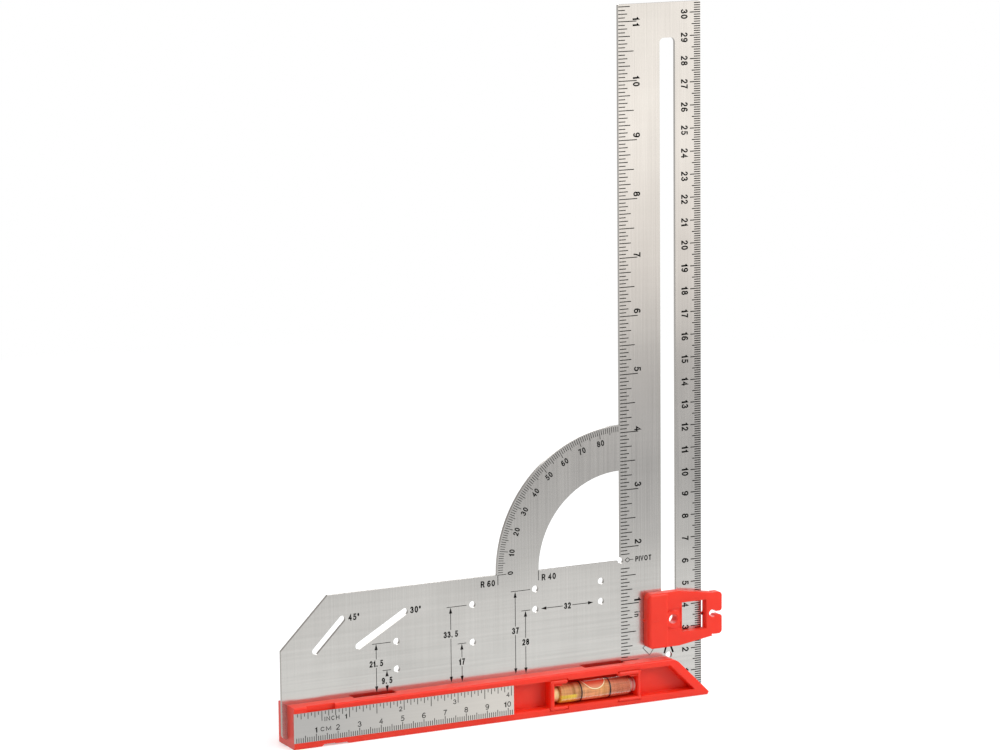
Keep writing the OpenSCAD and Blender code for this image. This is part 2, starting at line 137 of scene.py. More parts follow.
direct = add_node(
    tree, "ShaderNodeMixShader", {0: ray.outputs["Is Camera Ray"], 1: lit.outputs[0], 2: backdrop.outputs[0]}
)
gloss = add_node(
    tree,
    "ShaderNodeMixShader",
    {0: ray.outputs["Is Glossy Ray"], 1: direct.outputs[0], 2: mirrored.outputs[0]},
)
add_node(tree, "ShaderNodeOutputMaterial", {"Surface": gloss.outputs[0]})
FLOOR_HALF = 9
corners = [(x * FLOOR_HALF, y * FLOOR_HALF, 0) for x, y in ((-1, -1), (1, -1), (1, 1), (-1, 1))]
mesh_piece("floor", corners, [(0, 1, 2, 3)], card)


# The studio: an even pale room, plain white behind the tool, and a little warmer and dimmer than that white
# where it mirrors in the steel or shows through the level.
world = bpy.data.worlds.new("pale studio")
world.use_nodes = True
bpy.context.scene.world = world
tree = world.node_tree
tree.nodes.clear()
ray = add_node(tree, "ShaderNodeLightPath")
room = add_node(tree, "ShaderNodeBackground", {"Color": linear("#f4f5f7"), "Strength": 0.36})
white = add_node(tree, "ShaderNodeBackground", {"Color": linear("#ffffff"), "Strength": 1.0})
warm = add_node(tree, "ShaderNodeBackground", {"Color": linear("#fbf8f4"), "Strength": 0.8})
plain = add_node(
    tree, "ShaderNodeMixShader", {0: ray.outputs["Is Camera Ray"], 1: room.outputs[0], 2: white.outputs[0]}
)
either = add_node(
    tree,
    "ShaderNodeMath",
    {0: ray.outputs["Is Glossy Ray"], 1: ray.outputs["Is Transmission Ray"], "operation": "MAXIMUM"},
)
both = add_node(tree, "ShaderNodeMixShader", {0: either.outputs[0], 1: plain.outputs[0], 2: warm.outputs[0]})
add_node(tree, "ShaderNodeOutputWorld", {"Surface": both.outputs[0]})

# Four soft boxes: the main one at the front right, one over the tool, one behind it and a weak one at the
# left. Each has its place and width in metres and its power in watts, and faces the tool.
LIT_POINT = Vector((0, 0, 0.08))
for name, place, size, power in (
    ("soft box right", (1.7, -1.5, 1.1), 0.9, 34.0),
    ("soft box above", (-0.2, -0.4, 1.9), 1.2, 17.0),
    ("soft box left", (-2.0, -1.3, 0.9), 1.2, 3.0),
    ("soft box behind", (0.4, 2.0, 1.2), 1.2, 14.0),
):
    lamp = bpy.data.lights.new(name, "AREA")
    lamp.shape, lamp.size, lamp.energy = "SQUARE", size, power
    holder = bpy.data.objects.new(name, lamp)
    holder.location = place
    holder.rotation_euler = (LIT_POINT - Vector(place)).to_track_quat("-Z", "Y").to_euler()
    bpy.context.scene.collection.objects.link(holder)


# The blade: one sheet of stainless steel, 1.5 mm thick, with plate, protractor arc and slotted ruler cut out
# of it in one piece. Its faces are ground and its edges are left as the cutting leaves them.
def dressed(node, material):
    """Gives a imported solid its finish."""
    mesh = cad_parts[node].data
    mesh.materials.clear()
    mesh.materials.append(material)
    mesh.polygons.foreach_set("material_index", [0] * len(mesh.polygons))


# Ground stainless steel: metallic, grey-white, glossy enough to mirror the red base just above the fence. It
# is ground along the ruler and rubbed along the base low on the plate, so that lines cross there. Real lines
# are 0.02 to 0.05 mm apart; the widest here are about 0.7 mm apart, so that they show.
steel, tree = new_material("stainless steel sheet, ground")
place = add_node(tree, "ShaderNodeTexCoord")
along_ruler = add_node(
    tree, "ShaderNodeMapping", {"Vector": place.outputs["Object"], "Scale": (1500.0, 1.0, 14.0)}
)
grind = add_node(tree, "ShaderNodeTexNoise", {"Vector": along_ruler.outputs[0], "Scale": 1.0, "Detail": 3.0})
along_base = add_node(
    tree, "ShaderNodeMapping", {"Vector": place.outputs["Object"], "Scale": (9.0, 1.0, 700.0)}
)
wipe = add_node(tree, "ShaderNodeTexNoise", {"Vector": along_base.outputs[0], "Scale": 1.0, "Detail": 3.0})
height = add_node(tree, "ShaderNodeSeparateXYZ", {"Vector": place.outputs["Object"]})
low = add_node(
    tree,
    "ShaderNodeMapRange",
    {"Value": height.outputs["Z"], "From Min": 0.022, "From Max": 0.080, "To Min": 0.8, "To Max": 0.12},
)
cloud = add_node(
    tree, "ShaderNodeTexNoise", {"Vector": place.outputs["Object"], "Scale": 22.0, "Detail": 2.0}
)
lines = add_node(
    tree,
    "ShaderNodeMix",
    {0: low.outputs["Result"], 2: grind.outputs[0], 3: wipe.outputs[0], "data_type": "FLOAT"},
)
tone = add_node(tree, "ShaderNodeMath", {0: lines.outputs[0], 1: cloud.outputs[0], "operation": "ADD"})
shade = add_node(tree, "ShaderNodeMapRange", {"Value": tone.outputs[0], "From Min": 0.75, "From Max": 1.25})
colour = add_node(
    tree,
    "ShaderNodeMix",
    {0: shade.outputs["Result"], 6: linear("#bdbcba"), 7: linear("#cfcecc"), "data_type": "RGBA"},
)
facing = add_node(tree, "ShaderNodeNewGeometry")
side = add_node(tree, "ShaderNodeSeparateXYZ", {"Vector": facing.outputs["True Normal"]})
flat = add_node(tree, "ShaderNodeMath", {0: side.outputs["Y"], "operation": "ABSOLUTE"})
edge = add_node(tree, "ShaderNodeMath", {0: flat.outputs[0], 1: 0.5, "operation": "LESS_THAN"})
cut_or_ground = add_node(
    tree,
    "ShaderNodeMix",
    {0: edge.outputs[0], 6: colour.outputs[2], 7: linear("#9a9794"), "data_type": "RGBA"},
)
matt = add_node(
    tree,
    "ShaderNodeMapRange",
    {"Value": lines.outputs[0], "From Min": 0.3, "From Max": 0.7, "To Min": 0.20, "To Max": 0.24},
)
relief = add_node(tree, "ShaderNodeBump", {"Height": grind.outputs[0], "Strength": 0.02, "Distance": 0.0001})
across_lines = add_node(tree, "ShaderNodeTangent", {"direction_type": "RADIAL", "axis": "Z"})
metal = add_node(
    tree,
    "ShaderNodeBsdfPrincipled",
    {
        "Base Color": cut_or_ground.outputs[2],
        "Metallic": 1.0,
        "Roughness": matt.outputs["Result"],
        "Anisotropic": 0.7,
        "Tangent": across_lines.outputs[0],
        "Normal": relief.outputs[0],
    },
)
add_node(tree, "ShaderNodeOutputMaterial", {"Surface": metal.outputs[0]})
dressed("blade", steel)


# The ruler's right-hand scale: millimetres from the base's underside, etched black, with a figure at each
# centimetre that is turned so that it reads with the ruler lying down. The underside is 18 mm below the
# fence, and the ruler's left edge is 56.5 mm right of the frame's middle.
FENCE = 18.0
RULER_LEFT = 56.5
RULER_RIGHT = 39.9


def at(x, y, z):
    """A point in metres from millimetres: x from the ruler's left edge, y deep, z from the fence."""
    return ((x + RULER_LEFT) / 1000, y / 1000, (z + FENCE) / 1000)


def bar(x0, z0, x1, z1, width):
    """A straight printed line between two points, as four corners."""
    run = Vector((x1 - x0, z1 - z0)).normalized() * (width / 2)
    right_side = [(x0 + run.y, z0 - run.x), (x1 + run.y, z1 - run.x)]
    left_side = [(x1 - run.y, z1 + run.x), (x0 - run.y, z0 + run.x)]
    return [right_side + left_side]


def arc(x, y, wide, tall, start, end, steps=10):
    """Points along part of an ellipse, from its middle and half sizes."""
    turns = [math.radians(start + (end - start) * i / steps) for i in range(steps + 1)]
    return [(x + wide * math.cos(t), y + tall * math.sin(t)) for t in turns]


# Each figure's width, as part of its height, and its centre lines in a box that is one wide and one high.
HOOK = [(0.87, 0.90), (0.76, 0.98), (0.55, 1.0), (0.28, 0.93), (0.10, 0.74), (0.01, 0.50)]
HOOK += arc(0.5, 0.28, 0.5, 0.28, 180, 540, 18)
FOOT = [(0.55, 0.34), (0.10, 0.12), (0.02, 0.0), (0.95, 0.0)]
BOWL = [(0, 0), (0, 1)] + arc(0.62, 0.74, 0.38, 0.26, 90, -90) + [(0, 0.48)]
FIGURES = {
    "0": (0.60, [arc(0.5, 0.5, 0.5, 0.5, 90, 450, 20)]),
    "1": (0.42, [[(0.0, 0.73), (0.45, 0.80), (0.88, 1.0), (0.88, 0.0)], [(0.62, 0.84), (0.62, 0.0)]]),
    "2": (0.60, [arc(0.5, 0.71, 0.46, 0.29, 165, -30) + FOOT]),
    "3": (0.60, [arc(0.48, 0.75, 0.42, 0.25, 160, -80) + arc(0.48, 0.26, 0.52, 0.26, 80, -160)]),
    "4": (0.62, [[(0.74, 0.0), (0.74, 1.0), (0.0, 0.30), (0.92, 0.30)]]),
    "5": (0.60, [[(0.88, 1.0), (0.24, 1.0), (0.12, 0.52)] + arc(0.46, 0.32, 0.54, 0.32, 125, -138)]),
    "6": (0.60, [HOOK]),
    "7": (0.58, [[(0.08, 1.0), (1.0, 1.0), (0.66, 0.62), (0.45, 0.30), (0.36, 0.0)]]),
    "8": (0.60, [arc(0.5, 0.76, 0.42, 0.24, -90, 270, 16), arc(0.5, 0.27, 0.5, 0.27, 90, 450, 16)]),
    "9": (0.60, [[(1 - x, 1 - y) for x, y in HOOK]]),
    "C": (0.68, [arc(0.5, 0.5, 0.5, 0.5, 42, 318, 16)]),
    "H": (0.66, [[(0, 0), (0, 1)], [(1, 0), (1, 1)], [(0, 0.52), (1, 0.52)]]),
    "I": (0.14, [[(0.5, 0), (0.5, 1)]]),
    "M": (0.82, [[(0, 0), (0, 1), (0.5, 0.12), (1, 1), (1, 0)]]),
    "N": (0.68, [[(0, 0), (0, 1), (1, 0), (1, 1)]]),
    "O": (0.74, [arc(0.5, 0.5, 0.5, 0.5, 90, 450, 20)]),
    "P": (0.60, [BOWL]),
    "R": (0.64, [BOWL, [(0.6, 0.48), (1, 0)]]),
    "T": (0.62, [[(0.1, 1), (0.9, 1)], [(0.5, 0), (0.5, 0.98)]]),
    "V": (0.66, [[(0, 1), (0.5, 0), (1, 1)]]),
    "i": (0.14, [[(0.5, 0), (0.5, 0.62)], [(0.5, 0.96), (0.5, 1)]]),
    "n": (0.52, [[(0, 0), (0, 0.72)], [(0, 0.5)] + arc(0.5, 0.42, 0.5, 0.3, 150, 0) + [(1, 0)]]),
    "°": (0.32, [arc(0.5, 0.84, 0.5, 0.16, 90, 450, 12)]),
    ".": (0.24, [[(0.5, 0.0), (0.5, 0.01)]]),
    " ": (0.18, []),
}


def ribbon(points, pen):
    """A stroke of even width along a line of points: a four-cornered face for each step, mitred at joints."""
    closed = (Vector(points[0]) - Vector(points[-1])).length < 1e-6
    line = [Vector(p) for p in (points[:-1] if closed else points)]
    if not closed:
        line[0] = line[0] + (line[0] - line[1]).normalized() * (pen / 2)
        line[-1] = line[-1] + (line[-1] - line[-2]).normalized() * (pen / 2)
    count, sides = len(line), []
    for i, spot in enumerate(line):
        ahead = (line[(i + 1) % count] - spot) if closed or i < count - 1 else (spot - line[i - 1])
        behind = (spot - line[i - 1]) if closed or i > 0 else ahead
        normals = [Vector((-d.y, d.x)).normalized() for d in (ahead, behind)]
        middle = (normals[0] + normals[1]).normalized()
        out = middle * (pen / 2) / max(middle.dot(normals[0]), 0.5)
        sides.append((tuple(spot + out), tuple(spot - out)))
    ends = [(sides[i], sides[(i + 1) % count]) for i in range(count if closed else count - 1)]
    return [[here[0], there[0], there[1], here[1]] for here, there in ends]


def lettering(words, x, z, tall, turn=0.0, wide=1.0, pen=0.15, gap=0.14):
    """Figures or words, centred on a point. The widths of stroke and gap are parts of the height."""
    total = sum(FIGURES[c][0] * wide for c in words) + gap * (len(words) - 1)
    c, s = math.cos(math.radians(turn)), math.sin(math.radians(turn))
    shapes, start = [], -total / 2
    for letter in words:
        width = FIGURES[letter][0] * wide
        for line in FIGURES[letter][1]:
            run = [(start + pen / 2 + u * (width - pen), pen / 2 + v * (1 - pen) - 0.5) for u, v in line]
            for face in ribbon(run, pen):
                shapes.append([(x + (u * c - v * s) * tall, z + (u * s + v * c) * tall) for u, v in face])
        start += width + gap
    return shapes


def printed(name, shapes, depth, ink, body="square"):
    """A piece of flat print: shapes in x and z, all at one depth."""
    vertices, faces = [], []
    for shape in shapes:
        faces.append(range(len(vertices), len(vertices) + len(shape)))
        vertices += [at(x, depth, z) for x, z in shape]
    return mesh_piece(name, vertices, faces, ink, body)


# Black etching on steel: dark and matt, a little worn and uneven, as an acid mark is. It lies 0.02 mm in
# front of the steel's face.
etched, tree = new_material("black etching on steel")
place = add_node(tree, "ShaderNodeTexCoord")
speckle = add_node(
    tree, "ShaderNodeTexNoise", {"Vector": place.outputs["Object"], "Scale": 1800.0, "Detail": 2.0}
)
tone = add_node(
    tree,
    "ShaderNodeMix",
    {0: speckle.outputs[0], 6: linear("#060606"), 7: linear("#141413"), "data_type": "RGBA"},
)
mark = add_node(
    tree,
    "ShaderNodeBsdfPrincipled",
    {"Base Color": tone.outputs[2], "Roughness": 0.75, "Specular IOR Level": 0.12},
)
add_node(tree, "ShaderNodeOutputMaterial", {"Surface": mark.outputs[0]})

PRINT_Y = -0.77
shapes = []
for mm in range(4, 305):
    tick = 5.1 if mm % 10 == 0 else 4.2 if mm % 5 == 0 else 3.1
    shapes += bar(RULER_RIGHT - tick, mm - FENCE, RULER_RIGHT, mm - FENCE, 0.42)
printed("ruler_millimetres", shapes, PRINT_Y, etched)
shapes = []
for cm in range(1, 31):
    middle = cm * 10 - FENCE - (0.7 if cm > 9 else -0.4 if cm == 1 else 0.3)
    wide = 0.95 if cm > 9 else 1.05
    shapes += lettering(str(cm), 32.1, middle, 3.3, -90, wide, 0.185, 0.12)
printed("ruler_centimetre_figures", shapes, PRINT_Y, etched)


# The ruler's left-hand scale: sixteenths of an inch from the fence, with a figure at each inch. The marks
# leave a gap beside the pivot notch.
INCH = 25.4
MARKS = 181
BESIDE_NOTCH = (27, 28, 29)
shapes = []
for i in range(MARKS):
    if i in BESIDE_NOTCH:
        continue
    tick = 8.9 if i % 16 == 0 else 7.4 if i % 8 == 0 else 5.7 if i % 4 == 0 else 4.4 if i % 2 == 0 else 3.3
    shapes += bar(0.1, i * INCH / 16, tick, i * INCH / 16, 0.40)
printed("ruler_inches", shapes, PRINT_Y, etched)
shapes = []
for inch in range(1, 12):
    above = 1.5 if inch == 1 else 1.1 if inch in (4, 7) else 2.0 if inch < 10 else -0.3
    x, wide = 8.3 if inch == 1 else 8.7, 0.95 if inch > 9 else 1.05
    shapes += lettering(str(inch), x, inch * INCH + above, 3.35, -90, wide, 0.185, 0.37)
shapes += lettering("in", 8.0, 20.25, 2.6, -90, 1.0, 0.17, 0.24)
printed("ruler_inch_figures", shapes, PRINT_Y, etched)


# The plate's distances: thin dimension lines with filled arrowheads from the fence up to each marking hole,
# the distance in millimetres across each line, and the names of the slits and arcs.
ARROW_LONG, ARROW_HALF = 2.6, 0.75
THIN, FINE = 0.28, 0.26


def arrow(x, z, dx, dz):
    """A filled arrowhead with its tip at the point."""
    tip = Vector((x, z))
    run = Vector((dx, dz)).normalized()
    back, half = tip - run * ARROW_LONG, Vector((-run.y, run.x)) * ARROW_HALF
    return [[tuple(tip), tuple(back + half), tuple(back - half)]]


shapes = []
for x, foot, top, words, middle, gap in (
    (-117.4, 0.4, 21.4, "21. 5", 12.9, 1.9),
    (-112.5, 0.2, 9.4, "9. 5", 5.0, 1.8),
    (-82.25, 0.4, 33.3, "33. 5", 21.6, 1.9),
    (-77.1, 0.2, 16.9, "17", 9.0, 1.9),
    (-51.4, 0.4, 36.8, "37", 19.6, 1.9),
    (-46.5, 0.2, 27.9, "28", 14.1, 1.9),
):
    shapes += bar(x, foot + 2, x, middle - gap, THIN) + bar(x, middle + gap, x, top - 2, THIN)
    shapes += arrow(x, foot, 0, -1) + arrow(x, top, 0, 1)
    shapes += lettering(words, x, middle, 2.8, 0, 0.9, 0.2, 0.11)
for x0, x1, z in (
    (-119.25, -110.6, 21.5),
    (-114.5, -110.6, 9.5),
    (-84.1, -74.6, 33.5),
    (-79.1, -75.0, 17.0),
    (-53.5, -44.1, 37.0),
    (-48.5, -44.1, 28.0),
):
    shapes += bar(x0, z, x1, z, FINE)
shapes += arrow(-39.0, 28.0, -1, 0) + arrow(-13.5, 28.0, 1, 0)
shapes += bar(-37.0, 28.0, -28.4, 28.0, THIN) + bar(-23.8, 28.0, -15.5, 28.0, THIN)
shapes += lettering("32", -26.1, 27.9, 2.8, 0, 0.9, 0.205, 0.12)
shapes += lettering("45°", -127.5, 34.4, 2.9, 0, 0.95, 0.2)
shapes += lettering("30°", -98.75, 34.4, 2.9, 0, 0.95, 0.2)
shapes += lettering("R 60", -64.4, 41.75, 2.8, 0, 1.0, 0.2) + bar(-59.6, 40.6, -59.6, 45.0, 0.3)
shapes += lettering("R 40", -35.1, 41.75, 2.8, 0, 1.0, 0.2) + bar(-40.1, 40.6, -40.1, 45.0, 0.3)
shapes += lettering("PIVOT", 11.25, 45.0, 2.4, 0, 1.0, 0.2)
shapes += bar(2.1, 45.0, 3.4, 46.0, THIN) + bar(3.4, 46.0, 4.6, 45.0, THIN)
shapes += bar(2.1, 45.0, 3.4, 44.0, THIN) + bar(3.4, 44.0, 4.6, 45.0, THIN) + bar(4.6, 45.0, 6.3, 45.0, THIN)
printed("plate_distances", shapes, PRINT_Y, etched)


# The protractor's scale: a mark at each degree on the arc's outer edge, longer at 5 and 10, with figures
# whose tops face outward. The arc's centre is 45 mm over the fence, on the ruler's left edge.
ARC_Z = 45
ARC_EDGE, MARKS_START, FIGURES_MIDDLE = 59.85, 59.5, 53.6
shapes = []
for degree in range(0, 90):
    reach = 4.3 if degree % 10 == 0 else 3.6 if degree % 5 == 0 else 2.7
    c, s = math.cos(math.radians(degree)), math.sin(math.radians(degree))
    end = ARC_EDGE - reach
    shapes += bar(-MARKS_START * c, ARC_Z + MARKS_START * s, -end * c, ARC_Z + end * s, FINE)
for degree in range(0, 90, 10):
    middle = math.radians(degree - 0.25 if degree else 0.3)
    c, s = math.cos(middle), math.sin(middle)
    x, z = -FIGURES_MIDDLE * c, ARC_Z + FIGURES_MIDDLE * s
    shapes += lettering(str(degree), x, z, 2.65, 90 - degree, 0.98, 0.19)
printed("protractor_scale", shapes, PRINT_Y, etched)


# Two marks at the foot of the ruler, half under the cursor: a thin diamond and two thick strokes round the
# hole on the slot's line.
DIAMOND = ((10.8, 4.7), (14.2, 1.2), (16.8, 4.9), (13.9, 7.6))
shapes = []
for start, end in zip(DIAMOND, DIAMOND[1:] + DIAMOND[:1]):
    shapes += bar(*start, *end, THIN)
shapes += bar(21.5, 1.1, 22.7, 5.2, 0.85) + bar(25.9, 1.1, 24.3, 5.2, 0.85)
printed("ruler_foot_marks", shapes, PRINT_Y, etched)


# The base and the cursor's two parts: ABS, each injection moulded in one piece, satin from the mould, a warm
# red. The base has a close slot for the blade. The colour is in the plastic, a shade lighter where the
# surface is duller.
abs_red, tree = new_material("ABS, moulded red, satin")
place = add_node(tree, "ShaderNodeTexCoord")
flow = add_node(tree, "ShaderNodeTexNoise", {"Vector": place.outputs["Object"], "Scale": 60.0, "Detail": 3.0})
grain = add_node(
    tree, "ShaderNodeTexNoise", {"Vector": place.outputs["Object"], "Scale": 2600.0, "Detail": 2.0}
)
tone = add_node(
    tree,
    "ShaderNodeMix",
    {0: flow.outputs[0], 6: linear("#ee2a10"), 7: linear("#f63114"), "data_type": "RGBA"},
)
matt = add_node(
    tree,
    "ShaderNodeMapRange",
    {"Value": flow.outputs[0], "From Min": 0.3, "From Max": 0.7, "To Min": 0.36, "To Max": 0.46},
)
soft_edge = add_node(tree, "ShaderNodeBevel", {"Radius": 0.00025, "samples": 4})
relief = add_node(
    tree,
    "ShaderNodeBump",
    {"Height": grain.outputs[0], "Strength": 0.12, "Distance": 0.0001, "Normal": soft_edge.outputs[0]},
)
plastic = add_node(
    tree,
    "ShaderNodeBsdfPrincipled",
    {
        "Base Color": tone.outputs[2],
        "Roughness": matt.outputs["Result"],
        "IOR": 1.53,
        "Specular IOR Level": 0.42,
        "Subsurface Weight": 0.5,
        "Subsurface Radius": (1.0, 0.12, 0.06),
        "Subsurface Scale": 0.008,
        "Normal": relief.outputs[0],
    },
)
add_node(tree, "ShaderNodeOutputMaterial", {"Surface": plastic.outputs[0]})
dressed("base", abs_red)
dressed("cursor_body", abs_red)
dressed("cursor_keeper", abs_red)


# The scale strip: 0.4 mm satin stainless steel, glued into its seat in the front of the base, with inches
# along its top edge and millimetres along its bottom edge, both from the left end.
satin, tree = new_material("stainless strip, satin")
place = add_node(tree, "ShaderNodeTexCoord")
stretch = add_node(
    tree, "ShaderNodeMapping", {"Vector": place.outputs["Object"], "Scale": (30.0, 1.0, 2200.0)}
)
grind = add_node(tree, "ShaderNodeTexNoise", {"Vector": stretch.outputs[0], "Scale": 1.0, "Detail": 3.0})
spot = add_node(tree, "ShaderNodeSeparateXYZ", {"Vector": place.outputs["Object"]})
# Painted light: the strip is made lighter and warmer towards its right end, as light falling from the right
# would leave it.
painted_light_to_right = add_node(
    tree, "ShaderNodeMapRange", {"Value": spot.outputs["X"], "From Min": -0.09, "From Max": -0.01}
)
dull = add_node(
    tree,
    "ShaderNodeMix",
    {0: painted_light_to_right.outputs[0], 6: linear("#acabaa"), 7: linear("#c8c4bf"), "data_type": "RGBA"},
)
bright = add_node(
    tree,
    "ShaderNodeMix",
    {0: painted_light_to_right.outputs[0], 6: linear("#b8b7b6"), 7: linear("#d4d0cb"), "data_type": "RGBA"},
)
tone = add_node(
    tree,
    "ShaderNodeMix",
    {0: grind.outputs[0], 6: dull.outputs[2], 7: bright.outputs[2], "data_type": "RGBA"},
)
metal = add_node(
    tree, "ShaderNodeBsdfPrincipled", {"Base Color": tone.outputs[2], "Metallic": 1.0, "Roughness": 0.3}
)
add_node(tree, "ShaderNodeOutputMaterial", {"Surface": metal.outputs[0]})
dressed("scale_strip", satin)

STRIP_X, STRIP_TOP, STRIP_FOOT, STRIP_Y = -158.9, -2.4, -15.2, -8.12
shapes = []
for i in range(1, 65):
    tick = 4.3 if i % 8 == 0 else 2.7 if i % 4 == 0 else 2.5 if i % 2 == 0 else 1.5
    x = STRIP_X + i * INCH / 16
    shapes += bar(x, STRIP_TOP - 0.1, x, STRIP_TOP - tick, 0.3)
for mm in range(1, 103):
    tick = 3.3 if mm % 10 == 0 else 3.0 if mm % 5 == 0 else 2.2
    shapes += bar(STRIP_X + mm, STRIP_FOOT + 0.1, STRIP_X + mm, STRIP_FOOT + tick, 0.3)
for inch in range(1, 5):
    shapes += lettering(str(inch), STRIP_X + inch * INCH - 1.6, -6.1, 2.1, 0, 1.2, 0.145)
for cm in range(1, 11):
    shapes += lettering(str(cm), STRIP_X + cm * 10.0 - (0.3 if cm == 10 else 0), -10.3, 2.4, 0, 1.2, 0.145)
shapes += lettering("INCH", -141.6, -6.05, 1.9, 0, 1.25, 0.16, 0.3)
shapes += lettering("CM", -144.5, -10.3, 1.9, 0, 1.5, 0.16, 0.3)
printed("strip_scale", shapes, STRIP_Y, etched)


# The level: a clear acrylic tube with a flange at each end, a yellow-green liquid and an air bubble, two
# black rings round it and a pale plug in its left end. It lies in two saddles in the base, under the
# brackets.
VIAL = Vector(at(-36.0, -3.55, -9.9))
VIAL_LONG = 40


def turned(name, profile, material, steps=96):
    """A round piece along the vial's axis, from its profile of distances and radii in millimetres."""
    vertices, faces = [], []
    for along, radius in profile:
        for i in range(steps):
            turn = 2 * math.pi * i / steps
            offset = Vector((along, radius * math.cos(turn), radius * math.sin(turn))) / 1000
            vertices.append(VIAL + offset)
    for ring in range(len(profile) - 1):
        for i in range(steps):
            a, b = ring * steps + i, ring * steps + (i + 1) % steps
            faces.append((a, a + steps, b + steps, b))
    first, last = range(steps), range((len(profile) - 1) * steps, len(profile) * steps)
    faces += [first, last[::-1]]
    piece = mesh_piece(name, vertices, faces, material, "square")
    piece.data.polygons.foreach_set("use_smooth", [True] * len(piece.data.polygons))
    piece.data.set_sharp_from_angle(angle=math.radians(30))
    return piece


# Clear acrylic: a bright skin over the liquid. Its two moulded ends are milky: yellow at the plug, and pink
# at the right, which is the red pocket's light painted on, with two near-white bands there that are painted
# highlights.
acrylic, tree = new_material("acrylic tube, clear")
place = add_node(tree, "ShaderNodeTexCoord")
spot = add_node(tree, "ShaderNodeSeparateXYZ", {"Vector": place.outputs["Object"]})
ends = add_node(
    tree, "ShaderNodeMapRange", {"Value": spot.outputs["X"], "From Min": 0.0205, "From Max": 0.0605}
)
plug_yellow_and_painted_light = add_node(tree, "ShaderNodeValToRGB", {"Fac": ends.outputs["Result"]})
plug_yellow_and_painted_light.color_ramp.elements[0].color = linear("#f6dd9c")
plug_yellow_and_painted_light.color_ramp.elements[1].color = linear("#e85a50")
# The pink stops paint on the red pocket's light; the two near-white stops near the right end are painted
# highlights.
for stop, colour in (
    (0.60, "#f08478"),
    (0.925, "#f08478"),
    (0.94, "#ffe4e0"),
    (0.955, "#ee7a70"),
    (0.975, "#ee7a70"),
    (0.985, "#ffd8d0"),
):
    plug_yellow_and_painted_light.color_ramp.elements.new(stop).color = linear(colour)
left_end = add_node(
    tree,
    "ShaderNodeMapRange",
    {"Value": spot.outputs["X"], "From Min": 0.0226, "From Max": 0.0229, "To Min": 0.75, "To Max": 0.0},
)
right_end = add_node(
    tree,
    "ShaderNodeMapRange",
    {"Value": spot.outputs["X"], "From Min": 0.0574, "From Max": 0.0577, "To Max": 0.65},
)
cloudy = add_node(
    tree, "ShaderNodeMath", {0: left_end.outputs[0], 1: right_end.outputs[0], "operation": "MAXIMUM"}
)
solid = add_node(
    tree, "ShaderNodeBsdfPrincipled", {"Base Color": plug_yellow_and_painted_light.outputs["Color"], "Roughness": 0.2, "IOR": 1.49}
)
through = add_node(tree, "ShaderNodeBsdfTransparent", {"Color": linear("#fbfaf0")})
shine = add_node(tree, "ShaderNodeBsdfGlossy", {"Color": linear("#ffffff"), "Roughness": 0.05})
facing = add_node(tree, "ShaderNodeFresnel", {"IOR": 1.35})
skin = add_node(tree, "ShaderNodeMath", {0: facing.outputs[0], 1: 0.22, "operation": "MULTIPLY"})
body = add_node(
    tree, "ShaderNodeMixShader", {0: cloudy.outputs[0], 1: through.outputs[0], 2: solid.outputs[0]}
)
tube = add_node(tree, "ShaderNodeMixShader", {0: skin.outputs[0], 1: body.outputs[0], 2: shine.outputs[0]})
ray = add_node(tree, "ShaderNodeLightPath")
clear = add_node(
    tree, "ShaderNodeMixShader", {0: ray.outputs["Is Shadow Ray"], 1: tube.outputs[0], 2: through.outputs[0]}
)
add_node(tree, "ShaderNodeOutputMaterial", {"Surface": clear.outputs[0]})
profile = [(0.05, 3.25), (0.1, 3.3), (2.15, 3.3), (2.2, 3.25)]
profile += [(2.2, 2.95), (3.0, 2.95), (3.0, 4.4), (3.1, 4.48)]
profile += [(VIAL_LONG - x, r) for x, r in profile[::-1]]
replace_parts(turned("vial_glass", profile, acrylic), "vial_tube")

# Level spirit, dyed yellow-green. Seen through it, the tube's far side mirrors the red pocket; that
# reflection is painted into its colour as amber with darker bands, and as red along the top, with the dye's
# own yellow low at the left.
spirit, tree = new_material("level spirit, yellow-green")
place = add_node(tree, "ShaderNodeTexCoord")
spot = add_node(tree, "ShaderNodeSeparateXYZ", {"Vector": place.outputs["Object"]})
along = add_node(
    tree, "ShaderNodeMapRange", {"Value": spot.outputs["X"], "From Min": 0.0205, "From Max": 0.0605}
)
# Painted reflection: the amber along the tube stands for the red pocket mirrored in the tube's far side.
painted_pocket_amber = add_node(tree, "ShaderNodeValToRGB", {"Fac": along.outputs["Result"]})
painted_pocket_amber.color_ramp.elements[0].color = linear("#f8c888")
painted_pocket_amber.color_ramp.elements[1].color = linear("#c46c5c")
for stop, colour in (
    (0.10, "#f6bc88"),
    (0.20, "#ecb084"),
    (0.235, "#b07c54"),
    (0.26, "#ecb890"),
    (0.30, "#c08a60"),
    (0.34, "#f0b28c"),
    (0.46, "#f4ae84"),
    (0.58, "#f6b886"),
    (0.60, "#d89a66"),
    (0.63, "#f4b888"),
    (0.70, "#dc8c74"),
):
    painted_pocket_amber.color_ramp.elements.new(stop).color = linear(colour)
low = add_node(
    tree, "ShaderNodeMapRange", {"Value": spot.outputs["Z"], "From Min": 0.0082, "From Max": 0.0077}
)
near_left = add_node(
    tree, "ShaderNodeMapRange", {"Value": spot.outputs["X"], "From Min": 0.0316, "From Max": 0.0306}
)
patch = add_node(
    tree, "ShaderNodeMath", {0: low.outputs[0], 1: near_left.outputs[0], "operation": "MULTIPLY"}
)
dye_and_pocket_reflection = add_node(
    tree,
    "ShaderNodeMix",
    {0: patch.outputs[0], 6: painted_pocket_amber.outputs["Color"], 7: linear("#fce25a"), "data_type": "RGBA"},
)
